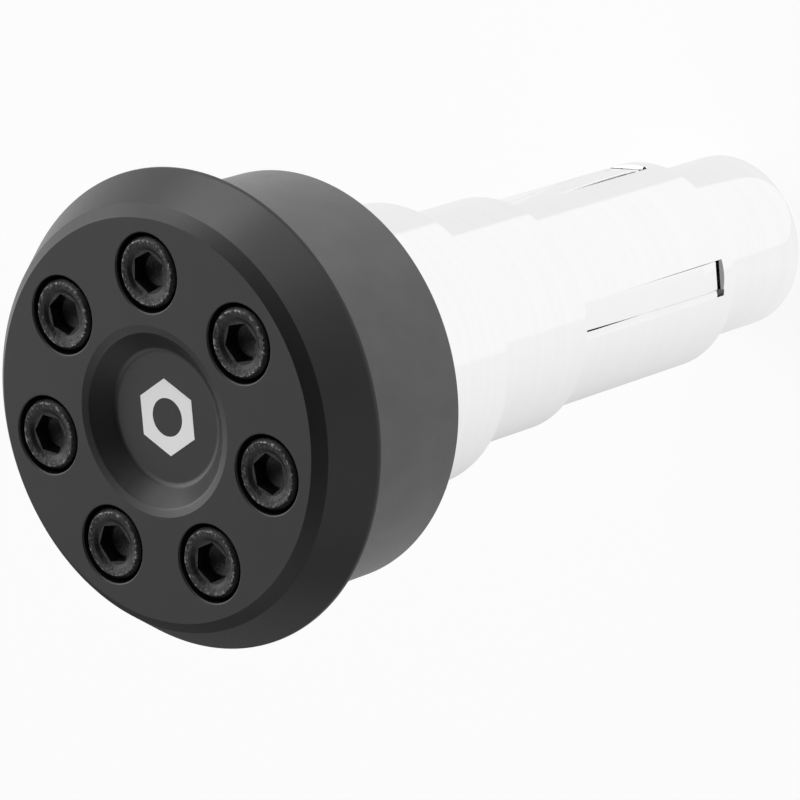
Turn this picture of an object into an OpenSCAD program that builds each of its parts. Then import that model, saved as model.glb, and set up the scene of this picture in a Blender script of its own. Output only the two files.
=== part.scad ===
// Bar end weight for a motorcycle handlebar.
// It stands on the plain end of its mandrel, with the screwed cap on top.
// Heights along Z are counted from that end, and depths in the head from the cap's face.

/* [Cap] */
// Largest diameter of the cap, at its back
cap_d = 36; // [34:0.5:44]
// Diameter of the flat front face
face_d = 30.2; // [29:0.1:31]
// Diameter at the outer edge of the front bevel
bevel_d = 32; // [31.2:0.1:33.5]
// Depth of the front bevel
bevel_h = 0.8; // [0.4:0.1:1.5]
// Depth of the flared rim behind the bevel
flare_h = 3.2; // [2.5:0.1:5]
// Depth of the straight band at the largest diameter
land_h = 0.3; // [0.2:0.1:2]
// Chamfer at the back edge of the cap
back_chamfer = 0.6; // [0.3:0.1:1]
// Diameter of the dimple in the face
dimple_d = 14.3; // [11:0.1:15]
// Width of the bright lip round the dimple
lip_w = 0.6; // [0.3:0.1:1]
// Depth to which the lip slopes down
lip_depth = 0.15; // [0.1:0.05:0.4]
// Depth of the dimple's flat floor
dimple_depth = 1.5; // [0.9:0.1:2]
// Diameter of the dimple's flat floor
floor_d = 10.4; // [7:0.1:10.6]

/* [Cap screws] */
// How many screws hold the cap
screw_count = 7; // [5:1:8]
// Diameter of the circle that the screws stand on
screw_circle_d = 22.1; // [21.8:0.1:22.8]
// Turn of the first screw about the axis, in degrees
screw_turn = -54.7; // [-180:0.1:180]
// Diameter of a screw head
head_d = 5.4; // [4.8:0.1:5.6]
// Height of a screw head
head_h = 2.9; // [2.6:0.1:3]
// Diameter of a screw's shank
shank_d = 2.9; // [2.5:0.1:3]
// Length of a screw's shank
shank_len = 8; // [6:0.5:8.5]
// Width across the flats of the hexagon socket
socket_af = 2.5; // [2:0.1:2.8]
// Depth of the hexagon socket
socket_depth = 1.6; // [1:0.1:2]
// Gap all round a head in its counterbore
head_gap = 0.25; // [0.15:0.05:0.5]
// How far a head lies below the face
head_sink = 0; // [0:0.05:0.4]
// Gap all round a shank in the cap's hole
cap_hole_gap = 0.25; // [0.1:0.05:0.4]
// Room left under a shank in its tapped hole
tap_room = 0.6; // [0.2:0.1:1]
// Chamfer round a counterbore's mouth
rim_chamfer = 0.3; // [0.1:0.05:0.4]

/* [Collar] */
// Diameter of the collar behind the cap
collar_d = 31.4; // [30:0.1:32.5]
// Length of the collar
collar_len = 10.9; // [10.6:0.1:18]
// Chamfer at the collar's far edge
collar_chamfer = 0.25; // [0.1:0.05:0.6]

/* [Centre bolt] */
// Diameter of the bolt's shank
bolt_d = 6; // [5:0.5:8]
// Diameter of the bolt's head
bolt_head_d = 10; // [9:0.5:11.5]
// Height of the bolt's head
bolt_head_h = 5.8; // [5:0.1:6]
// Length of the bolt's shank
bolt_len = 22; // [14:1:26]
// Width across the flats of the bolt's socket
bolt_af = 5; // [4:0.5:6]
// Depth of the bolt's socket
bolt_socket_depth = 3; // [2:0.1:4]
// Gap all round the bolt's head in its recess
bolt_head_gap = 0.5; // [0.2:0.1:0.8]
// How far the bolt's head lies below the collar's face
bolt_sink = 0.4; // [0.1:0.1:0.6]
// Gap all round the bolt's shank in the collar
bolt_hole_gap = 0.25; // [0.1:0.05:0.5]
// Room left under the bolt's tip
bolt_room = 1; // [0.5:0.1:2]

/* [Mandrel] */
// Diameter of the spigot that centres the mandrel in the collar
spigot_d = 12; // [10:0.5:16]
// Height of the spigot
spigot_h = 2; // [1:0.1:2.2]
// Diameter of the shoulder section, the same as the outside of the bar
shoulder_d = 22.2; // [20.5:0.1:25]
// Length of the shoulder section
shoulder_len = 11.8; // [8:0.1:20]
// Diameter of the seat that enters the bar's bore
seat_d = 18.7; // [18.2:0.1:20]
// Length of the seat
seat_len = 11.9; // [8:0.1:20]
// Diameter of the section that carries the springs
carrier_d = 17; // [16.6:0.1:17.4]
// Length of the section that carries the springs
carrier_len = 20.3; // [18:0.1:30]
// Diameter of the nose
nose_d = 14.3; // [13:0.1:15]
// Length of the nose
nose_len = 10.8; // [6:0.1:20]
// Chamfer on each turned edge
edge_chamfer = 0.3; // [0.1:0.05:0.5]

/* [Spring leaves] */
// How many spring leaves stand round the mandrel
leaf_count = 4; // [2:1:4]
// Width of a leaf
leaf_w = 2.4; // [2:0.1:2.8]
// Thickness of a leaf
leaf_t = 0.7; // [0.5:0.05:0.8]
// Distance from the axis to a leaf's outer face where it leaves the shoulder
leaf_low = 7.7; // [7.5:0.05:7.9]
// How far a leaf rises along its length
leaf_rise = 0.75; // [0.4:0.05:0.9]
// How far the bent tip drops
tip_drop = 0.3; // [0.1:0.05:0.7]
// Length of the bent tip
tip_len = 2; // [1:0.1:3]
// Length of a leaf's root inside the seat
root_len = 4; // [2:0.1:7]
// Gap on each side of a leaf in its channel
channel_gap = 0.08; // [0.05:0.01:0.3]
// Distance from the axis to the channel's floor
channel_floor = 6.6; // [6.3:0.1:6.7]
// Width of the shallow shelf along one side of the channel
shelf_w = 0.5; // [0.3:0.05:0.8]
// Distance from the axis to the shelf
shelf_floor = 7.6; // [7.2:0.05:7.9]
// Length of solid metal between a channel and the nose
channel_margin = 1.6; // [0.6:0.1:3]
// Gap between a leaf's tip and the channel's far wall
tip_gap = 0.6; // [0.3:0.1:3]
// Length of the deep well under the tip
well_len = 1.6; // [1:0.1:4]
// Distance from the axis to the well's floor
well_floor = 5.4; // [4.6:0.1:6]

/* [Hidden] */

// Small clearances between pieces that fit together
slip = 0.05;
thread_gap = 0.05;
// How far a cutting solid runs past the face that it opens
past = 1;
$fn = 96;

// Heights of the shoulders, from the mandrel's plain end upwards
nose_top = nose_len;
carrier_top = nose_top + carrier_len;
seat_top = carrier_top + seat_len;
shoulder_top = seat_top + shoulder_len;
collar_top = shoulder_top + collar_len;
cap_h = bevel_h + flare_h + land_h + back_chamfer;
face_z = collar_top + cap_h;

// Counterbores and tapped holes
counterbore_d = head_d + 2 * head_gap;
counterbore_depth = head_h + head_sink;
screw_seat_z = face_z - counterbore_depth;
tapped_depth = shank_len - (cap_h - counterbore_depth) + tap_room;
bolt_recess_d = bolt_head_d + 2 * bolt_head_gap;
bolt_recess_depth = bolt_head_h + bolt_sink;
bolt_seat_z = collar_top - bolt_recess_depth;
bolt_tip_z = bolt_seat_z - bolt_len;

// Channels and leaves
channel_low = nose_top + channel_margin;
tip_z = channel_low + tip_gap;
crest_z = tip_z + tip_len;
root_z = carrier_top + root_len;

black = [0.17, 0.17, 0.18];
oxide = [0.10, 0.10, 0.11];
silver = [0.86, 0.87, 0.88];
spring = [0.74, 0.75, 0.77];

function hexagon_r(af) = af / 2 / cos(30);
function screw_angle(i) = screw_turn + (i - 1) * 360 / screw_count;
function leaf_angle(i) = (i - 1) * 360 / leaf_count - 90;

// Distance from the axis to a leaf's outer face at height z, rising smoothly to its crest
function leaf_face(z) =
    z >= carrier_top ? leaf_low :
    z >= crest_z ? leaf_low + leaf_rise * sin(90 * (carrier_top - z) / (carrier_top - crest_z)) :
    leaf_low + leaf_rise - tip_drop * pow((crest_z - z) / tip_len, 1.6);

// Heights along a leaf, close together where it bends
leaf_steps = concat(
    [root_z],
    [for (i = [0 : 9]) carrier_top - i * (carrier_top - crest_z) / 10],
    [for (i = [0 : 5]) crest_z - i * tip_len / 5]
);

module place_screw(i) {
    rotate([0, 0, screw_angle(i)]) translate([screw_circle_d / 2, 0, 0]) children();
}

// The flared disc with its bevel, its counterbored holes and its dimple
module front_cap() {
    color(black) difference() {
        rotate_extrude() polygon([
            [0, collar_top],
            [cap_d / 2 - back_chamfer, collar_top],
            [cap_d / 2, collar_top + back_chamfer],
            [cap_d / 2, collar_top + back_chamfer + land_h],
            [bevel_d / 2, face_z - bevel_h],
            [face_d / 2, face_z],
            [0, face_z]
        ]);
        rotate_extrude() polygon([
            [0, face_z - dimple_depth],
            [floor_d / 2, face_z - dimple_depth],
            [dimple_d / 2 - lip_w, face_z - lip_depth],
            [dimple_d / 2, face_z],
            [dimple_d / 2, face_z + past],
            [0, face_z + past]
        ]);
        for (i = [1 : screw_count]) place_screw(i) {
            translate([0, 0, screw_seat_z]) cylinder(d = counterbore_d, h = counterbore_depth + past);
            translate([0, 0, face_z - rim_chamfer])
                cylinder(d1 = counterbore_d, d2 = counterbore_d + 4 * rim_chamfer, h = 2 * rim_chamfer);
            translate([0, 0, collar_top - past])
                cylinder(d = shank_d + 2 * cap_hole_gap, h = cap_h + past, $fn = 48);
        }
    }
}

// The heavy ring behind the cap, with the bolt's recess, the screws' holes and the mandrel's socket
module collar() {
    color(black) difference() {
        rotate_extrude() polygon([
            [0, shoulder_top],
            [collar_d / 2 - collar_chamfer, shoulder_top],
            [collar_d / 2, shoulder_top + collar_chamfer],
            [collar_d / 2, collar_top],
            [0, collar_top]
        ]);
        translate([0, 0, bolt_seat_z]) cylinder(d = bolt_recess_d, h = bolt_recess_depth + past);
        translate([0, 0, shoulder_top - past]) cylinder(d = bolt_d + 2 * bolt_hole_gap, h = collar_len + past);
        translate([0, 0, shoulder_top - past])
            cylinder(d = spigot_d + 2 * slip, h = spigot_h + 2 * slip + past);
        for (i = [1 : screw_count]) place_screw(i)
            translate([0, 0, collar_top - tapped_depth])
                cylinder(d = shank_d + 2 * thread_gap, h = tapped_depth + past, $fn = 48);
    }
}

// A socket head screw that stands on its seat with its head up
module socket_screw(d, len, hd, hh, af, depth) {
    edge = hd / 20;
    mouth = af * 0.14;
    difference() {
        rotate_extrude() polygon([
            [0, -len],
            [d / 2 - d / 10, -len],
            [d / 2, -len + d / 10],
            [d / 2, 0],
            [hd / 2, 0],
            [hd / 2, hh - edge],
            [hd / 2 - edge * 0.3, hh - edge * 0.3],
            [hd / 2 - edge, hh],
            [0, hh]
        ]);
        translate([0, 0, hh - depth]) linear_extrude(depth + past) circle(r = hexagon_r(af), $fn = 6);
        translate([0, 0, hh - mouth])
            cylinder(r1 = hexagon_r(af) * 0.9, r2 = hexagon_r(af) * 0.9 + 2 * mouth, h = 2 * mouth);
    }
}

// One cap screw, with its socket turned by its own amount
module cap_screw(i) {
    color(oxide) place_screw(i) translate([0, 0, screw_seat_z]) rotate([0, 0, 11 + 23 * i])
        socket_screw(shank_d, shank_len, head_d, head_h, socket_af, socket_depth);
}

// The bolt under the cap that draws the mandrel against the collar
module centre_bolt() {
    color(oxide) translate([0, 0, bolt_seat_z])
        socket_screw(bolt_d, bolt_len, bolt_head_d, bolt_head_h, bolt_af, bolt_socket_depth);
}

// The turned profile, from the plain end up to the spigot
module turned_mandrel() {
    e = edge_chamfer;
    rotate_extrude() polygon([
        [0, 0],
        [nose_d / 2 - e, 0],
        [nose_d / 2, e],
        [nose_d / 2, nose_top],
        [carrier_d / 2 - e, nose_top],
        [carrier_d / 2, nose_top + e],
        [carrier_d / 2, carrier_top],
        [seat_d / 2 - e, carrier_top],
        [seat_d / 2, carrier_top + e],
        [seat_d / 2, seat_top],
        [shoulder_d / 2 - e, seat_top],
        [shoulder_d / 2, seat_top + e],
        [shoulder_d / 2, shoulder_top],
        [spigot_d / 2, shoulder_top],
        [spigot_d / 2, shoulder_top + spigot_h],
        [0, shoulder_top + spigot_h]
    ]);
}

// The space that one leaf takes out of the mandrel: channel, shelf, well and root pocket
module leaf_channel(i) {
    channel_w = leaf_w + 2 * channel_gap;
    rotate([0, 0, leaf_angle(i)]) {
        translate([channel_floor, -channel_w / 2, channel_low])
            cube([carrier_d, channel_w, carrier_top - channel_low]);
        translate([shelf_floor, -channel_w / 2 - shelf_w, channel_low])
            cube([carrier_d, channel_w + shelf_w, carrier_top - channel_low]);
        translate([well_floor, -channel_w / 2, channel_low])
            cube([carrier_d, channel_w, well_len]);
        translate([leaf_low - leaf_t - slip, -leaf_w / 2 - slip, carrier_top - past])
            cube([leaf_t + 2 * slip, leaf_w + 2 * slip, root_len + slip + past]);
    }
}

// The stepped mandrel with its channels, drawn onto the collar by the centre bolt
module mandrel() {
    color(silver) difference() {
        turned_mandrel();
        for (i = [1 : leaf_count]) leaf_channel(i);
        translate([0, 0, bolt_tip_z - bolt_room])
            cylinder(d = bolt_d + 2 * thread_gap, h = shoulder_top + spigot_h - bolt_tip_z + bolt_room + past);
    }
}

// One bowed leaf: its root in the seat, its crest near the far end and its tip bent back in
module spring_leaf(i) {
    outer = [for (z = leaf_steps) [leaf_face(z), z]];
    inner = [for (k = [len(leaf_steps) - 1 : -1 : 0]) [leaf_face(leaf_steps[k]) - leaf_t, leaf_steps[k]]];
    color(spring) rotate([0, 0, leaf_angle(i)])
        translate([0, leaf_w / 2, 0]) rotate([90, 0, 0])
            linear_extrude(leaf_w) polygon(concat(outer, inner));
}

front_cap();
collar();
centre_bolt();
mandrel();
for (i = [1 : screw_count])
    cap_screw(i);
for (i = [1 : leaf_count])
    spring_leaf(i);
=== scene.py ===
"""Bar end weight: looks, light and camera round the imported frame."""
import math
import bmesh
import bpy
from mathutils import Euler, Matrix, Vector


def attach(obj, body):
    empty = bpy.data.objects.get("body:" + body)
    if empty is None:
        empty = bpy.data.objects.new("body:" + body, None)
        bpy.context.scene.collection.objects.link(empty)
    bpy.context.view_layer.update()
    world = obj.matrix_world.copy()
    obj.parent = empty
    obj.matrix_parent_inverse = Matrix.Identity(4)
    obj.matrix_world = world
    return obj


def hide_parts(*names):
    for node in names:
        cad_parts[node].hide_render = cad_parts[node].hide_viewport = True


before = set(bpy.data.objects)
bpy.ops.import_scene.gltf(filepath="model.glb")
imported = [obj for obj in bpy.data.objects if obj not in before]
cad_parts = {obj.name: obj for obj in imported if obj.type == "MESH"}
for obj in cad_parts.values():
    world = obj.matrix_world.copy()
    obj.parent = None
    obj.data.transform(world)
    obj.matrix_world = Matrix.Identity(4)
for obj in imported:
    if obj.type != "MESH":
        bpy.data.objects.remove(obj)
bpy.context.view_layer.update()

BODY = "root"
MM = 0.001

# Sizes of the part in millimetres; they are the frame's, apart from some of the fine detail
FACE_Z, COLLAR_TOP, SHOULDER_TOP, SEAT_TOP, CARRIER_TOP, NOSE_TOP = 70.6, 65.7, 54.8, 43.0, 31.1, 10.8
CAP_R, BEVEL_R, FACE_R = 18.0, 16.0, 15.1
BEVEL_Z, LAND_Z, BACK_CHAMFER = FACE_Z - 0.8, COLLAR_TOP + 0.9, 0.6
DIMPLE_R, LIP_R, LIP_DEPTH, FLOOR_R, DIMPLE_DEPTH = 7.15, 6.55, 0.15, 5.1, 1.5
COLLAR_R, COLLAR_CHAMFER = 15.7, 0.08
SHOULDER_R, SEAT_R, CARRIER_R, NOSE_R, SPIGOT_R, SPIGOT_H = 11.1, 9.35, 8.5, 7.15, 6.0, 2.0
# The chamfer at the lower edge of each step of the mandrel, and the small fillet on its corners
EDGE, EDGE_FILLET = 0.3, 0.1

SCREWS, SCREW_CIRCLE_R, SCREW_FIRST = 7, 11.05, -54.7
HEAD_R, HEAD_H, SHANK_R, SHANK_LEN, SHANK_TAPER = 2.7, 2.9, 1.45, 8.0, 0.3
HOLE_R, HOLE_MOUTH, SCREW_SEAT_Z = HEAD_R + 0.25, 0.16, FACE_Z - HEAD_H
CLEARANCE_R, TAPPED_DEPTH = 1.7, 6.7
SOCKET_AF, SOCKET_DEPTH, SOCKET_TURN_FIRST, SOCKET_TURN_STEP = 2.7, 1.3, 34.0, 23.0
# The dished ring round a socket: its outer and inner radius, its dip and the step inside it
RING_R, RING_INNER_R, RING_DIP, RING_STEP = 1.9, 1.62, 0.1, 0.17
# The grip round a head: the number of ridges, and the groove's depth at the four points of each
RIDGES, GROOVE = 30, (0.0, 0.06, 0.11, 0.06)
# The drilled point under a socket: its radius as a share of the width across flats, and its depth
POINT_SHARE, POINT_DEPTH = 0.46, 0.5
# The worn edge of a head: how far inside the head's side it runs, and how far the wear spreads
WORN_INSET, WORN_SPREAD = 0.32, 0.16

BOLT_R, BOLT_LEN, BOLT_TAPER, BOLT_HEAD_R, BOLT_HEAD_H, BOLT_BEVEL = 3.0, 22.0, 0.6, 5.0, 5.8, 0.5
BOLT_SEAT_Z, BOLT_RECESS_R, BOLT_HOLE_R, BOLT_AF, BOLT_SOCKET_DEPTH = 59.5, 5.5, 3.25, 5.0, 3.0

LEAVES, LEAF_FIRST = 4, -90.0
LEAF_W, LEAF_T, LEAF_LOW, LEAF_RISE, TIP_DROP, LEAF_EDGE = 2.4, 0.7, 7.7, 0.75, 0.2, 0.12
TIP_Z, CREST_Z, ROOT_Z = 13.0, 15.0, 35.1
# How the bend at a leaf's tip sharpens, and into how many steps the bow and the tip are divided
TIP_BEND, BOW_STEPS, TIP_STEPS = 1.6, 24, 10
CHANNEL_W, CHANNEL_FLOOR, CHANNEL_LOW, CHANNEL_BREAK = LEAF_W + 0.08, 6.6, 12.4, 0.25
SHELF_W, SHELF_FLOOR, WELL_LEN, WELL_FLOOR = 0.5, 8.0, 1.6, 5.4

MARK_R, MARK_HOLE_R, PAINT_T = 2.9, 1.45, 0.02

# The play between pieces that fit together, how far a cutter reaches past what it cuts,
# and how far cutters that meet overlap
PLAY, PAST, LAP = 0.05, 1.0, 0.02
# The number of sides that stand for a circle: large turned faces, holes and small holes
TURNED_SIDES, HOLE_SIDES, SMALL_SIDES = 256, 96, 48
# Edges that bend by more than this many degrees stay sharp
SHARP_OVER = 32.0


# Forms turned about the part's axis
def rounded(corners, steps=6):
    """An outline from (radius, height, fillet) corners, with an arc at each fillet."""
    points = []
    last = len(corners) - 1
    for k, (r, z, fillet) in enumerate(corners):
        here = Vector((r, z))
        if fillet <= 0 or k in (0, last):
            points.append(here)
            continue
        back = Vector(corners[k - 1][:2]) - here
        ahead = Vector(corners[k + 1][:2]) - here
        half = back.angle(ahead) / 2
        run = min(fillet / math.tan(half), 0.48 * back.length, 0.48 * ahead.length)
        radius = run * math.tan(half)
        centre = here + (back.normalized() + ahead.normalized()).normalized() * radius / math.sin(half)
        start = here + back.normalized() * run - centre
        sweep = start.angle_signed(here + ahead.normalized() * run - centre)
        for i in range(steps + 1):
            t = -sweep * i / steps
            turned = Vector((start.x * math.cos(t) - start.y * math.sin(t),
                             start.x * math.sin(t) + start.y * math.cos(t)))
            points.append(centre + turned)
    return points


def turned_form(name, outline, sides):
    """A closed mesh from an outline that starts and ends on the axis."""
    bm = bmesh.new()
    rings = []
    for r, z in outline:
        if r < 1e-6:
            rings.append([bm.verts.new((0, 0, z * MM))])
        else:
            rings.append([bm.verts.new((r * MM * math.cos(a), r * MM * math.sin(a), z * MM))
                          for a in (2 * math.pi * i / sides for i in range(sides))])
    for low, high in zip(rings, rings[1:]):
        for i in range(sides):
            j = (i + 1) % sides
            corners = []
            for v in (low[i % len(low)], low[j % len(low)], high[j % len(high)], high[i % len(high)]):
                if v not in corners:
                    corners.append(v)
            if len(corners) > 2:
                bm.faces.new(corners)
    return form_object(name, bm)


def bar_form(name, radius, low, high, sides):
    """A plain upright bar on the axis."""
    return turned_form(name, [(0, low), (radius, low), (radius, high), (0, high)], sides)


def form_object(name, bm):
    """A finished bmesh as an object at the origin, with its faces outwards."""
    bmesh.ops.remove_doubles(bm, verts=bm.verts, dist=1e-8)
    bmesh.ops.recalc_face_normals(bm, faces=bm.faces)
    mesh = bpy.data.meshes.new(name)
    bm.to_mesh(mesh)
    bm.free()
    obj = bpy.data.objects.new(name, mesh)
    bpy.context.scene.collection.objects.link(obj)
    return obj


def box_form(name, low, high):
    """A plain box, used only to cut with."""
    bm = bmesh.new()
    bmesh.ops.create_cube(bm, size=1)
    for v in bm.verts:
        v.co = Vector([(low[k] + high[k]) / 2 * MM + v.co[k] * (high[k] - low[k]) * MM for k in range(3)])
    return form_object(name, bm)


def as_plain_mesh(obj):
    """Takes what the modifiers give as the object's own mesh, and removes them."""
    bpy.context.view_layer.update()
    graph = bpy.context.evaluated_depsgraph_get()
    mesh = bpy.data.meshes.new_from_object(obj.evaluated_get(graph), depsgraph=graph)
    mesh.name = obj.name
    old = obj.data
    obj.modifiers.clear()
    obj.data = mesh
    bpy.data.meshes.remove(old)
    return obj


def discard(*objects):
    """Removes objects and their meshes."""
    for obj in objects:
        mesh = obj.data
        bpy.data.objects.remove(obj)
        bpy.data.meshes.remove(mesh)


def cut(obj, *cutters):
    """Cuts each cutter out of the object; the cutters are used up."""
    for cutter in cutters:
        step = obj.modifiers.new("cut", "BOOLEAN")
        step.operation = "DIFFERENCE"
        step.solver = "EXACT"
        step.object = cutter
    as_plain_mesh(obj)
    discard(*cutters)
    return obj


def smooth_faces(obj):
    """Smooth shading that keeps level faces flat and strong bends sharp."""
    bm = bmesh.new()
    bm.from_mesh(obj.data)
    for face in bm.faces:
        face.smooth = abs(face.normal.z) < 0.99999
    for edge in bm.edges:
        if len(edge.link_faces) == 2:
            edge.smooth = edge.calc_face_angle() < math.radians(SHARP_OVER)
    bm.to_mesh(obj.data)
    bm.free()
    flat = obj.modifiers.new("flat faces", "WEIGHTED_NORMAL")
    flat.mode = "FACE_AREA"
    flat.weight = 90
    flat.keep_sharp = True
    return as_plain_mesh(obj)


def maths_node(tree, operation, *values):
    """The output of one sum; each value is a number or another node's output."""
    node = tree.nodes.new("ShaderNodeMath")
    node.operation = operation
    for socket, value in zip(node.inputs, values):
        if isinstance(value, (int, float)):
            socket.default_value = value
        else:
            tree.links.new(value, socket)
    return node.outputs[0]


# Copies that stand in a ring about the part's axis
def ring_tree():
    """Puts copies of a form on a circle, each turned outwards and by a turn of its own."""
    tree = bpy.data.node_groups.new("ring of copies", "GeometryNodeTree")
    for name, kind in (("Geometry", "Geometry"), ("Form", "Object"), ("Copies", "Int"),
                       ("Circle radius", "Float"), ("Height", "Float"), ("First angle", "Float"),
                       ("First own turn", "Float"), ("Own turn step", "Float"), ("Material", "Material")):
        tree.interface.new_socket(name=name, in_out="INPUT", socket_type="NodeSocket" + kind)
    tree.interface.new_socket(name="Geometry", in_out="OUTPUT", socket_type="NodeSocketGeometry")
    nodes, links = tree.nodes, tree.links

    def maths(operation, *values):
        return maths_node(tree, operation, *values)

    given = nodes.new("NodeGroupInput").outputs
    index = nodes.new("GeometryNodeInputIndex").outputs[0]
    angle = maths("ADD", maths("DIVIDE", maths("MULTIPLY", index, 2 * math.pi), given["Copies"]),
                  given["First angle"])
    own = maths("ADD", maths("MULTIPLY", index, given["Own turn step"]), given["First own turn"])
    place = nodes.new("ShaderNodeCombineXYZ")
    links.new(maths("MULTIPLY", maths("COSINE", angle), given["Circle radius"]), place.inputs[0])
    links.new(maths("MULTIPLY", maths("SINE", angle), given["Circle radius"]), place.inputs[1])
    links.new(given["Height"], place.inputs[2])
    turn = nodes.new("ShaderNodeCombineXYZ")
    links.new(maths("ADD", angle, own), turn.inputs[2])
    turned = nodes.new("FunctionNodeEulerToRotation")
    links.new(turn.outputs[0], turned.inputs[0])
    points = nodes.new("GeometryNodePoints")
    links.new(given["Copies"], points.inputs["Count"])
    links.new(place.outputs[0], points.inputs["Position"])
    form = nodes.new("GeometryNodeObjectInfo")
    links.new(given["Form"], form.inputs["Object"])
    copies = nodes.new("GeometryNodeInstanceOnPoints")
    links.new(points.outputs[0], copies.inputs["Points"])
    links.new(form.outputs["Geometry"], copies.inputs["Instance"])
    links.new(turned.outputs[0], copies.inputs["Rotation"])
    real = nodes.new("GeometryNodeRealizeInstances")
    links.new(copies.outputs[0], real.inputs[0])
    coated = nodes.new("GeometryNodeSetMaterial")
    links.new(real.outputs[0], coated.inputs["Geometry"])
    links.new(given["Material"], coated.inputs["Material"])
    links.new(coated.outputs[0], nodes.new("NodeGroupOutput").inputs[0])
    return tree


RING = ring_tree()


def ring_of(name, form, copies, circle_mm=0.0, height_mm=0.0, first_deg=0.0, own_deg=0.0,
            own_step_deg=0.0, material=None):
    """One mesh with the form repeated round the axis; the form itself is used up."""
    mesh = bpy.data.meshes.new(name)
    obj = bpy.data.objects.new(name, mesh)
    bpy.context.scene.collection.objects.link(obj)
    step = obj.modifiers.new("ring", "NODES")
    step.node_group = RING
    values = {"Form": form, "Copies": copies, "Circle radius": circle_mm * MM, "Height": height_mm * MM,
              "First angle": math.radians(first_deg), "First own turn": math.radians(own_deg),
              "Own turn step": math.radians(own_step_deg), "Material": material}
    for item in RING.interface.items_tree:
        if item.in_out == "INPUT" and item.name in values and values[item.name] is not None:
            step[item.identifier] = values[item.name]
    as_plain_mesh(obj)
    discard(form)
    return obj


# Materials
GRAIN_MM = 0.12
OXIDE_TONE, BARE_TONE = (0.004, 0.004, 0.0042), (0.4, 0.4, 0.41)


def material_base(name, colour, roughness, metallic=0.0, specular=0.5):
    """A material with plain values, and its shader for the finishes to go on from."""
    material = bpy.data.materials.new(name)
    material.use_nodes = True
    shader = material.node_tree.nodes["Principled BSDF"]
    shader.inputs["Base Color"].default_value = (*colour, 1.0)
    shader.inputs["Roughness"].default_value = roughness
    shader.inputs["Metallic"].default_value = metallic
    shader.inputs["Specular IOR Level"].default_value = specular
    return material, shader


class Paint:
    """Short ways to add the nodes that the finishes share."""

    def __init__(self, material):
        self.tree = material.node_tree
        self.nodes, self.links = self.tree.nodes, self.tree.links
        self.place = self.nodes.new("ShaderNodeTexCoord").outputs["Object"]

    def noise(self, scale_per_mm, detail=3.0, rough=0.55, where=None):
        node = self.nodes.new("ShaderNodeTexNoise")
        node.inputs["Scale"].default_value = scale_per_mm / MM
        node.inputs["Detail"].default_value = detail
        node.inputs["Roughness"].default_value = rough
        self.links.new(where or self.place, node.inputs["Vector"])
        return node.outputs["Fac"]

    def spread(self, value, low, high, to_low, to_high):
        node = self.nodes.new("ShaderNodeMapRange")
        for socket, number in zip(node.inputs[1:5], (low, high, to_low, to_high)):
            socket.default_value = number
        self.links.new(value, node.inputs[0])
        return node.outputs[0]

    def blend(self, amount, first, second):
        node = self.nodes.new("ShaderNodeMix")
        node.data_type = "RGBA"
        self.links.new(amount, node.inputs[0])
        node.inputs[6].default_value = (*first, 1.0)
        node.inputs[7].default_value = (*second, 1.0)
        return node.outputs[2]

    def maths(self, operation, *values):
        return maths_node(self.tree, operation, *values)

    def relief(self, shader, height, depth_mm, strength):
        node = self.nodes.new("ShaderNodeBump")
        node.inputs["Strength"].default_value = strength
        node.inputs["Distance"].default_value = depth_mm * MM
        self.links.new(height, node.inputs["Height"])
        self.links.new(node.outputs[0], shader.inputs["Normal"])

    def radius_and_height(self):
        """Coordinates that stay the same all the way round the part's axis."""
        parts = self.nodes.new("ShaderNodeSeparateXYZ")
        self.links.new(self.place, parts.inputs[0])
        squares = [self.maths("MULTIPLY", parts.outputs[k], parts.outputs[k]) for k in (0, 1)]
        join = self.nodes.new("ShaderNodeCombineXYZ")
        self.links.new(self.maths("SQRT", self.maths("ADD", *squares)), join.inputs[0])
        self.links.new(parts.outputs[2], join.inputs[2])
        return join.outputs[0]


def blasted_black(name, colour, pale, roughness):
    """Fine blasted and blackened metal: even grain with a slight drift in tone and gloss."""
    material, shader = material_base(name, colour, roughness)
    paint = Paint(material)
    drift = paint.noise(0.25, 4.0)
    grain = paint.noise(1.0 / GRAIN_MM, 2.0, 0.6)
    paint.links.new(paint.blend(paint.spread(drift, 0.35, 0.65, 0.0, 1.0), colour, pale),
                    shader.inputs["Base Color"])
    paint.links.new(paint.spread(grain, 0.3, 0.7, roughness - 0.05, roughness + 0.06),
                    shader.inputs["Roughness"])
    paint.relief(shader, grain, 0.006, 0.5)
    return material


def turned_silver(name):
    """Bright turned metal with the fine rings that the tool leaves."""
    material, shader = material_base(name, (0.95, 0.95, 0.955), 0.1, metallic=1.0)
    paint = Paint(material)
    rings = paint.noise(6.0, 2.0, 0.7, paint.radius_and_height())
    bands = paint.noise(0.9, 2.0, 0.5, paint.radius_and_height())
    paint.links.new(paint.spread(rings, 0.3, 0.7, 0.08, 0.12), shader.inputs["Roughness"])
    paint.links.new(paint.blend(paint.spread(bands, 0.35, 0.65, 0.0, 1.0),
                                (0.952, 0.952, 0.957), (0.965, 0.965, 0.97)), shader.inputs["Base Color"])
    paint.relief(shader, rings, 0.0005, 0.1)
    return material


def spring_steel(name):
    """Rolled strip with faint lengthwise lines."""
    material, shader = material_base(name, (0.96, 0.96, 0.965), 0.16, metallic=1.0)
    paint = Paint(material)
    stretch = paint.nodes.new("ShaderNodeMapping")
    stretch.inputs["Scale"].default_value = (1.0, 1.0, 0.04)
    paint.links.new(paint.place, stretch.inputs["Vector"])
    lines = paint.noise(9.0, 3.0, 0.6, stretch.outputs[0])
    paint.links.new(paint.spread(lines, 0.3, 0.7, 0.12, 0.22), shader.inputs["Roughness"])
    paint.links.new(paint.blend(lines, (0.945, 0.945, 0.95), (0.975, 0.975, 0.98)),
                    shader.inputs["Base Color"])
    paint.relief(shader, lines, 0.001, 0.3)
    return material


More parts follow.
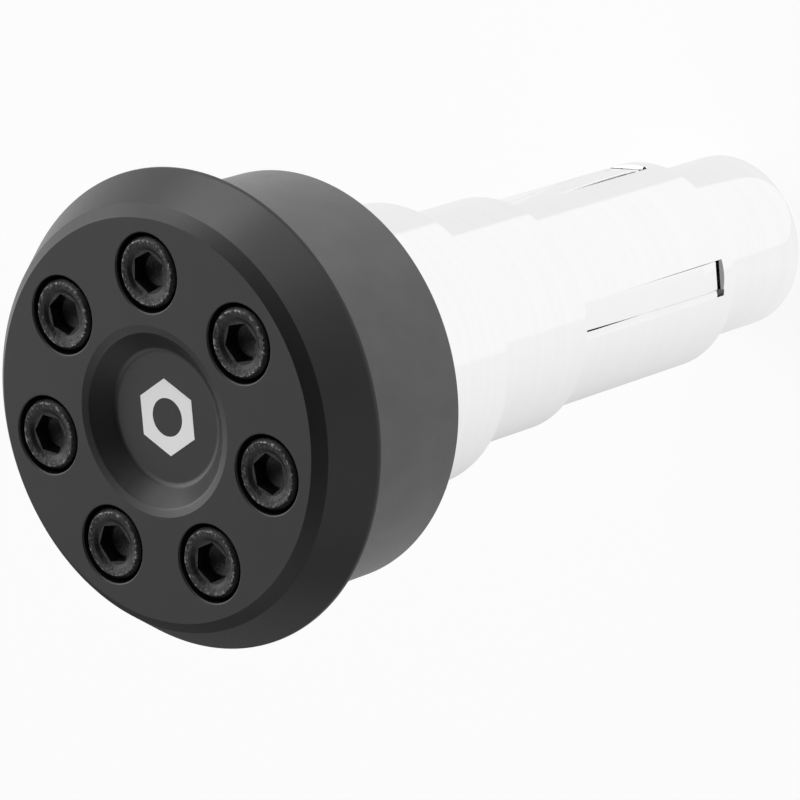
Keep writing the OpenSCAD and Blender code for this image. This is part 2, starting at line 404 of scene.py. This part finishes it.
def worn_oxide(name):
    """Black oxide on a forged head: rough, and rubbed bright in specks along the edges."""
    material, shader = material_base(name, OXIDE_TONE, 0.34, specular=0.3)
    paint = Paint(material)
    edge = paint.nodes.new("ShaderNodeAttribute")
    edge.attribute_name = "edge"
    pits = paint.noise(2.2, 4.0, 0.75)
    specks = paint.spread(paint.noise(4.0, 3.0, 0.65), 0.5, 0.62, 0.03, 1.0)
    rubbed = paint.maths("MULTIPLY", paint.maths("MULTIPLY", edge.outputs["Fac"], specks), 0.7)
    paint.links.new(paint.blend(rubbed, OXIDE_TONE, BARE_TONE), shader.inputs["Base Color"])
    paint.links.new(paint.spread(pits, 0.3, 0.7, 0.26, 0.42), shader.inputs["Roughness"])
    paint.links.new(paint.maths("MULTIPLY", rubbed, 0.9), shader.inputs["Metallic"])
    paint.relief(shader, pits, 0.08, 0.9)
    return material


# The collar's black is far paler than the cap's: partly a lighter finish, partly painted light for the light
# that the collar catches
CAP_BLACK = blasted_black("satin black cap", (0.0055, 0.0055, 0.0058), (0.008, 0.008, 0.0083), 0.36)
COLLAR_BLACK_AND_LIGHT = blasted_black("satin black collar", (0.092, 0.092, 0.093), (0.108, 0.108, 0.109), 0.40)
OXIDE = worn_oxide("worn black oxide")
SILVER = turned_silver("bright turned metal")
STRIP = spring_steel("spring strip")
WHITE = material_base("white paint", (0.9, 0.9, 0.9), 0.5)[0]


def finish(obj, material, slot, *nodes):
    """Gives a piece its finish, its place in the record and the nodes that it stands for."""
    obj.data.materials.clear()
    obj.data.materials.append(material)
    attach(obj, BODY)
    if nodes:
        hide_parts(*nodes)
    return obj


# Cap
def make_cap():
    cap = turned_form("cap_disc", rounded([
        (0, COLLAR_TOP, 0), (CAP_R - BACK_CHAMFER, COLLAR_TOP, 0.1), (CAP_R, COLLAR_TOP + BACK_CHAMFER, 0.3),
        (CAP_R, LAND_Z, 0.5), (BEVEL_R, BEVEL_Z, 0.1), (FACE_R, FACE_Z, 0.06), (DIMPLE_R, FACE_Z, 0.12),
        (LIP_R, FACE_Z - LIP_DEPTH, 0.4), (FLOOR_R, FACE_Z - DIMPLE_DEPTH, 0.7),
        (0, FACE_Z - DIMPLE_DEPTH, 0)], 10), TURNED_SIDES)
    # The counterbore's mouth runs out just above the face, so that its rounding meets the face
    counterbore = turned_form("counterbore", rounded([
        (0, SCREW_SEAT_Z, 0), (HOLE_R, SCREW_SEAT_Z, 0), (HOLE_R, FACE_Z, HOLE_MOUTH),
        (HOLE_R + 0.6, FACE_Z + 0.02, 0), (HOLE_R + 0.6, FACE_Z + PAST, 0), (0, FACE_Z + PAST, 0)],
        8), HOLE_SIDES)
    clearance = bar_form("clearance", CLEARANCE_R, COLLAR_TOP - PAST, SCREW_SEAT_Z + PAST, SMALL_SIDES)
    cut(cap, ring_of("counterbores", counterbore, SCREWS, SCREW_CIRCLE_R, first_deg=SCREW_FIRST),
        ring_of("clearances", clearance, SCREWS, SCREW_CIRCLE_R, first_deg=SCREW_FIRST))
    return finish(smooth_faces(cap), CAP_BLACK, "cap", "front_cap")


# Collar
def make_collar():
    collar = turned_form("collar_ring", rounded([
        (0, SHOULDER_TOP, 0), (COLLAR_R - COLLAR_CHAMFER, SHOULDER_TOP, 0.08),
        (COLLAR_R, SHOULDER_TOP + COLLAR_CHAMFER, 0.12), (COLLAR_R, COLLAR_TOP, 0.05),
        (0, COLLAR_TOP, 0)]), TURNED_SIDES)
    recess = bar_form("bolt recess", BOLT_RECESS_R, BOLT_SEAT_Z, COLLAR_TOP + PAST, HOLE_SIDES)
    spigot_r, spigot_top = SPIGOT_R + PLAY, SHOULDER_TOP + SPIGOT_H + 2 * PLAY
    passage = turned_form("bolt passage", [
        (0, SHOULDER_TOP - PAST), (spigot_r, SHOULDER_TOP - PAST), (spigot_r, spigot_top),
        (BOLT_HOLE_R, spigot_top), (BOLT_HOLE_R, BOLT_SEAT_Z + PAST), (0, BOLT_SEAT_Z + PAST)], HOLE_SIDES)
    tapped = bar_form("tapped hole", SHANK_R + PLAY, COLLAR_TOP - TAPPED_DEPTH, COLLAR_TOP + PAST,
                      SMALL_SIDES)
    cut(collar, recess, passage,
        ring_of("tapped holes", tapped, SCREWS, SCREW_CIRCLE_R, first_deg=SCREW_FIRST))
    return finish(smooth_faces(collar), COLLAR_BLACK_AND_LIGHT, "collar", "collar")


# Screws
def socket_cutter(across_flats, depth, top):
    """A hexagon socket with a drilled point below."""
    reach = across_flats / 2 / math.cos(math.radians(30))
    hexagon = bar_form("hexagon", reach, top - depth, top + PAST, 6)
    brim = top - depth + LAP
    point = turned_form("drill point", [(0, top - depth - POINT_DEPTH), (across_flats * POINT_SHARE, brim),
                                        (0, brim)], SMALL_SIDES)
    return hexagon, point


def mark_edge(obj, radius, height, spread):
    """Stores how near each point lies to the edge with the given radius and height."""
    mesh = obj.data
    near = mesh.attributes.new("edge", "FLOAT", "POINT")
    for v in mesh.vertices:
        r, z = math.hypot(v.co.x, v.co.y) / MM, v.co.z / MM
        near.data[v.index].value = max(0.0, 1.0 - math.hypot(r - radius, z - height) / spread)


def make_screws():
    shank = [(0, -SHANK_LEN, 0), (SHANK_R - SHANK_TAPER, -SHANK_LEN, 0),
             (SHANK_R, -SHANK_LEN + SHANK_TAPER, 0), (SHANK_R, 0, 0)]
    side = [(HEAD_R - 0.12, 0, 0.06), (HEAD_R, 0.2, 0), (HEAD_R, HEAD_H - 0.32, 0.2)]
    rim = [(HEAD_R - 0.2, HEAD_H - 0.11, 0), (HEAD_R - 0.3, HEAD_H, 0.05),
           (HEAD_R - 0.42, HEAD_H - 0.012, 0)]
    dish = [(RING_R, HEAD_H - RING_DIP, 0.2), (RING_INNER_R, HEAD_H - RING_DIP - RING_STEP, 0.1),
            (0, HEAD_H - RING_DIP - RING_STEP, 0)]
    screw = turned_form("screw", rounded(shank + side + rim + dish, 8), 4 * RIDGES)
    # The grip round the head, in shallow upright grooves
    for v in screw.data.vertices:
        r, z = math.hypot(v.co.x, v.co.y) / MM, v.co.z / MM
        if r > HEAD_R - 0.04 and 0.1 < z < HEAD_H - 0.2:
            place = round(math.atan2(v.co.y, v.co.x) / (2 * math.pi) * 4 * RIDGES) % 4
            sunk = 1.0 - GROOVE[place] / HEAD_R
            v.co.x *= sunk
            v.co.y *= sunk
    cut(screw, *socket_cutter(SOCKET_AF, SOCKET_DEPTH, HEAD_H))
    mark_edge(screw, HEAD_R - WORN_INSET, HEAD_H, WORN_SPREAD)
    screws = ring_of("cap_screws", screw, SCREWS, SCREW_CIRCLE_R, SCREW_SEAT_Z, SCREW_FIRST,
                     SOCKET_TURN_FIRST, SOCKET_TURN_STEP, OXIDE)
    return finish(smooth_faces(screws), OXIDE, "screw", *["cap_screw_%d" % (i + 1) for i in range(SCREWS)])


def make_bolt():
    top = BOLT_SEAT_Z + BOLT_HEAD_H
    bolt = turned_form("centre_bolt_piece", rounded([
        (0, -BOLT_LEN, 0), (BOLT_R - BOLT_TAPER, -BOLT_LEN, 0), (BOLT_R, -BOLT_LEN + BOLT_TAPER, 0),
        (BOLT_R, 0, 0), (BOLT_HEAD_R, 0, 0.2), (BOLT_HEAD_R, BOLT_HEAD_H - BOLT_BEVEL, 0.2),
        (BOLT_HEAD_R - BOLT_BEVEL, BOLT_HEAD_H, 0.2), (0, BOLT_HEAD_H, 0)], 4), HOLE_SIDES)
    for v in bolt.data.vertices:
        v.co.z += BOLT_SEAT_Z * MM
    cut(bolt, *socket_cutter(BOLT_AF, BOLT_SOCKET_DEPTH, top))
    mark_edge(bolt, BOLT_HEAD_R - 0.4, top, 0.3)
    return finish(smooth_faces(bolt), OXIDE, "screw", "centre_bolt")


# Mandrel
def make_mandrel():
    outline = [(0, 0, 0)]
    low = 0
    for radius, top in ((NOSE_R, NOSE_TOP), (CARRIER_R, CARRIER_TOP), (SEAT_R, SEAT_TOP),
                        (SHOULDER_R, SHOULDER_TOP)):
        outline += [(radius - EDGE, low, EDGE_FILLET), (radius, low + EDGE, EDGE_FILLET),
                    (radius, top, EDGE_FILLET)]
        low = top
    spigot_top = SHOULDER_TOP + SPIGOT_H
    outline += [(SPIGOT_R, SHOULDER_TOP, EDGE_FILLET), (SPIGOT_R, spigot_top, EDGE_FILLET),
                (0, spigot_top, 0)]
    mandrel = turned_form("stepped_mandrel", rounded(outline, 4), TURNED_SIDES)
    # The cutters reach out by different amounts, so that no two of them share an outer face
    half = CHANNEL_W / 2
    end = CHANNEL_LOW + CHANNEL_BREAK
    channel = box_form("channel", (CHANNEL_FLOOR, -half, end), (CARRIER_R + 0.35, half, CARRIER_TOP))
    shelf = box_form("shelf", (SHELF_FLOOR, -half - SHELF_W, CHANNEL_LOW),
                     (CARRIER_R + 0.4, -half + LAP, CARRIER_TOP))
    well = box_form("well", (WELL_FLOOR, -half, end), (CARRIER_R + 0.3, half, CHANNEL_LOW + WELL_LEN))
    # The slanted edge at the end of the channel, under the leaf's tip
    slant = box_form("edge break", (CARRIER_R - CHANNEL_BREAK, -half, CHANNEL_LOW - CHANNEL_BREAK),
                     (CARRIER_R + CHANNEL_BREAK, half, end + 0.2))
    for v in slant.data.vertices:
        if v.co.x < CARRIER_R * MM and v.co.z < CHANNEL_LOW * MM:
            v.co.z = end * MM
    side = LEAF_W / 2 + PLAY
    pocket = box_form("root pocket", (LEAF_LOW - LEAF_T - PLAY, -side, CARRIER_TOP - PAST),
                      (LEAF_LOW + PLAY, side, ROOT_Z + PLAY))
    bore = bar_form("tapped bore", BOLT_R + PLAY, BOLT_SEAT_Z - BOLT_LEN - PAST, spigot_top + PAST,
                    HOLE_SIDES)
    rings = [ring_of(form.name + " ring", form, LEAVES, first_deg=LEAF_FIRST)
             for form in (channel, shelf, well, slant, pocket)]
    cut(mandrel, *rings, bore)
    return finish(smooth_faces(mandrel), SILVER, "mandrel", "mandrel")


# Spring leaves
def leaf_face(z):
    """Distance from the axis to a leaf's outer face at height z."""
    if z >= CARRIER_TOP:
        return LEAF_LOW
    if z >= CREST_Z:
        return LEAF_LOW + LEAF_RISE * math.sin(math.pi / 2 * (CARRIER_TOP - z) / (CARRIER_TOP - CREST_Z))
    return LEAF_LOW + LEAF_RISE - TIP_DROP * ((CREST_Z - z) / (CREST_Z - TIP_Z)) ** TIP_BEND


def make_leaves():
    heights = [ROOT_Z]
    heights += [CARRIER_TOP - i * (CARRIER_TOP - CREST_Z) / BOW_STEPS for i in range(BOW_STEPS)]
    heights += [CREST_Z - i * (CREST_Z - TIP_Z) / TIP_STEPS for i in range(TIP_STEPS + 1)]
    half = LEAF_W / 2
    bm = bmesh.new()
    rows = []
    for z in heights:
        outer = leaf_face(z)
        inner = outer - LEAF_T
        rows.append([bm.verts.new((r * MM, y * MM, z * MM))
                     for r, y in ((outer, half), (outer, -half), (inner, -half), (inner, half))])
    for a, b in zip(rows, rows[1:]):
        for i in range(4):
            bm.faces.new((a[i], a[(i + 1) % 4], b[(i + 1) % 4], b[i]))
    bm.faces.new(rows[0])
    bm.faces.new(rows[-1])
    leaf = form_object("leaf", bm)
    soft = leaf.modifiers.new("edges", "BEVEL")
    soft.width = LEAF_EDGE * MM
    soft.segments = 3
    soft.limit_method = "ANGLE"
    soft.angle_limit = math.radians(40)
    as_plain_mesh(leaf)
    leaves = ring_of("spring_leaves", leaf, LEAVES, first_deg=LEAF_FIRST, material=STRIP)
    return finish(smooth_faces(leaves), STRIP, "leaf", *["spring_leaf_%d" % (i + 1) for i in range(LEAVES)])


# The painted mark on the dimple's floor, a plain nut seen from above
def make_mark():
    floor = FACE_Z - DIMPLE_DEPTH
    mark = bar_form("painted_nut_mark", MARK_R, floor, floor + PAINT_T, 6)
    cut(mark, bar_form("mark hole", MARK_HOLE_R, floor - PAST, floor + PAST, 64))
    return finish(mark, WHITE, "cap")


make_cap()
make_collar()
make_screws()
make_bolt()
make_mandrel()
make_leaves()
make_mark()


# Floor, light and camera
# The share of plain white in the floor, as the camera sees it and as the metal mirrors it,
# and how pale the matt rest of it is
FLOOR_SEEN, FLOOR_MIRRORED, FLOOR_MATT = 0.9, 0.96, 0.93
# How pale the far floor and the mat under the part are in each direction, as the metal mirrors them;
# the darker stretches are painted shade that only the reflections show: azimuth and tone
FLOOR_SHADE_BY_AZIMUTH = [(-90, 0.6), (-45, 0.9), (45, 1.0), (186, 1.0), (197, 0.1), (215, 0.08), (240, 0.26),
               (269.9, 0.6)]
MAT_SHADE_BY_AZIMUTH = [(-90, 0.78), (-45, 0.9), (-15, 0.95), (105, 0.88), (180, 0.9), (225, 0.62), (269.9, 0.78)]
# The mat's radius in millimetres, and in metres half the floor's side and the heights of the sheets on it
MAT_R, FLOOR_HALF, MAT_Z, CARD_Z = 90.0, 3.0, 0.00005, 0.0001


def direction(azimuth, elevation):
    """The way out from the part; azimuth 0 is in front, on -Y, and 90 on +X."""
    a, e = math.radians(azimuth), math.radians(elevation)
    return Vector((math.sin(a) * math.cos(e), -math.cos(a) * math.cos(e), math.sin(e)))


def grey(tone):
    return (tone, tone, tone, 1)


def flat_stage(name, corners, shade_by_azimuth=()):
    """A pale sheet that isn't part of the object; painted shade by azimuth may darken it where the metal
    mirrors it.
    """
    mesh = bpy.data.meshes.new(name)
    mesh.from_pydata(corners, [], [tuple(range(len(corners)))])
    sheet = bpy.data.objects.new(name, mesh)
    bpy.context.scene.collection.objects.link(sheet)
    material = bpy.data.materials.new("pale " + name)
    material.use_nodes = True
    tree = material.node_tree
    nodes, links = tree.nodes, tree.links
    nodes.clear()
    matt = nodes.new("ShaderNodeBsdfDiffuse")
    matt.inputs[0].default_value = grey(FLOOR_MATT)
    white = nodes.new("ShaderNodeEmission")
    white.inputs[0].default_value = grey(1)
    path = nodes.new("ShaderNodeLightPath").outputs
    # Painted shade: the tones darken the sheet by direction round the part, in glossy rays only; the camera
    # sees it white
    if shade_by_azimuth:
        around = nodes.new("ShaderNodeTexGradient")
        around.gradient_type = "RADIAL"
        links.new(nodes.new("ShaderNodeTexCoord").outputs["Object"], around.inputs[0])
        ramp = nodes.new("ShaderNodeValToRGB")
        links.new(around.outputs["Fac"], ramp.inputs[0])
        while len(ramp.color_ramp.elements) < len(shade_by_azimuth):
            ramp.color_ramp.elements.new(0.5)
        for stop, (azimuth, tone) in zip(ramp.color_ramp.elements, shade_by_azimuth):
            stop.position = (azimuth + 90) / 360
            stop.color = grey(tone)
        pale = nodes.new("ShaderNodeMix")
        pale.data_type = "RGBA"
        links.new(path["Is Camera Ray"], pale.inputs[0])
        links.new(ramp.outputs[0], pale.inputs[6])
        pale.inputs[7].default_value = grey(1)
        links.new(pale.outputs[2], white.inputs[0])
    seen = maths_node(tree, "MULTIPLY", path["Is Camera Ray"], FLOOR_SEEN)
    share = maths_node(tree, "MULTIPLY_ADD", path["Is Glossy Ray"], FLOOR_MIRRORED, seen)
    mix = nodes.new("ShaderNodeMixShader")
    links.new(share, mix.inputs[0])
    links.new(matt.outputs[0], mix.inputs[1])
    links.new(white.outputs[0], mix.inputs[2])
    links.new(mix.outputs[0], nodes.new("ShaderNodeOutputMaterial").inputs[0])
    mesh.materials.append(material)


def make_floor():
    half = FLOOR_HALF
    flat_stage("floor", [(-half, -half, 0), (half, -half, 0), (half, half, 0), (-half, half, 0)],
               FLOOR_SHADE_BY_AZIMUTH)
    # A white card beside the part, on the camera's side, that the bright metal mirrors
    near, side, far = 0.0085, 0.15, 0.22
    first, last = direction(2, 0) * near, direction(62, 0) * near
    corners = [first, first + direction(-13, 0) * side, direction(47, 0) * far,
               last + direction(107, 0) * side, last]
    flat_stage("card", [(c.x, c.y, CARD_Z) for c in corners])
    rim = [direction(i * 360 / 64, 0) * MAT_R * MM for i in range(64)]
    flat_stage("mat", [(c.x, c.y, MAT_Z) for c in rim], MAT_SHADE_BY_AZIMUTH)


# Broad soft patches of light all round: azimuth, elevation, strength and tightness
SOFT_LIGHT = [(-45, 8, 0.7, 12), (-10, 8, 0.7, 12), (30, 8, 0.8, 12), (70, 8, 2.1, 12), (140, 8, 1.3, 12),
              (175, 8, 1.0, 12), (160, 35, 3.8, 12), (-100, 42, 1.1, 12), (-130, 35, 1.0, 20),
              (107, 65, 0.3, 30), (-19, 40, 0.11, 20)]


def make_world():
    world = bpy.data.worlds.new("studio")
    bpy.context.scene.world = world
    world.use_nodes = True
    tree = world.node_tree
    nodes, links = tree.nodes, tree.links
    nodes.clear()
    way = nodes.new("ShaderNodeTexCoord").outputs["Generated"]
    total = 0.0
    for azimuth, elevation, strength, tightness in SOFT_LIGHT:
        along = nodes.new("ShaderNodeVectorMath")
        along.operation = "DOT_PRODUCT"
        links.new(way, along.inputs[0])
        along.inputs[1].default_value = direction(azimuth, elevation)
        facing = maths_node(tree, "MAXIMUM", along.outputs["Value"], 0.0)
        patch = maths_node(tree, "MULTIPLY", maths_node(tree, "POWER", facing, tightness), strength)
        total = maths_node(tree, "ADD", patch, total)
    path = nodes.new("ShaderNodeLightPath")
    room = nodes.new("ShaderNodeBackground")
    links.new(total, room.inputs["Strength"])
    behind = nodes.new("ShaderNodeBackground")
    mix = nodes.new("ShaderNodeMixShader")
    for background in (room, behind):
        background.inputs["Color"].default_value = grey(1)
    links.new(path.outputs["Is Camera Ray"], mix.inputs[0])
    links.new(room.outputs[0], mix.inputs[1])
    links.new(behind.outputs[0], mix.inputs[2])
    links.new(mix.outputs[0], nodes.new("ShaderNodeOutputWorld").inputs[0])


def lamp(name, azimuth, elevation, distance, width, height, power):
    """A soft box that looks at the part from the given direction."""
    middle = Vector((0, 0, 0.04))
    away = direction(azimuth, elevation)
    light = bpy.data.lights.new(name, "AREA")
    light.shape = "RECTANGLE"
    light.size, light.size_y = width, height
    light.energy = power
    obj = bpy.data.objects.new(name, light)
    obj.location = middle + away * distance
    obj.rotation_euler = away.to_track_quat("Z", "Y").to_euler()
    bpy.context.scene.collection.objects.link(obj)


def make_camera():
    """The camera as it was fitted to the photograph."""
    data = bpy.data.cameras.new("camera")
    data.sensor_width = 36.0
    data.lens = 225.303
    data.clip_start, data.clip_end = 0.01, 20.0
    camera = bpy.data.objects.new("camera", data)
    camera.location = (0.0752889, -0.2462592, 0.3267376)
    camera.rotation_euler = Euler([math.radians(v) for v in (-15.9138, 39.8299, -96.0881)], "XYZ")
    bpy.context.scene.collection.objects.link(camera)
    bpy.context.scene.camera = camera


make_floor()
make_world()
lamp("right soft box", 105, 15, 0.5, 0.3, 0.24, 0.9)
make_camera()
bpy.context.scene.view_settings.view_transform = "Standard"
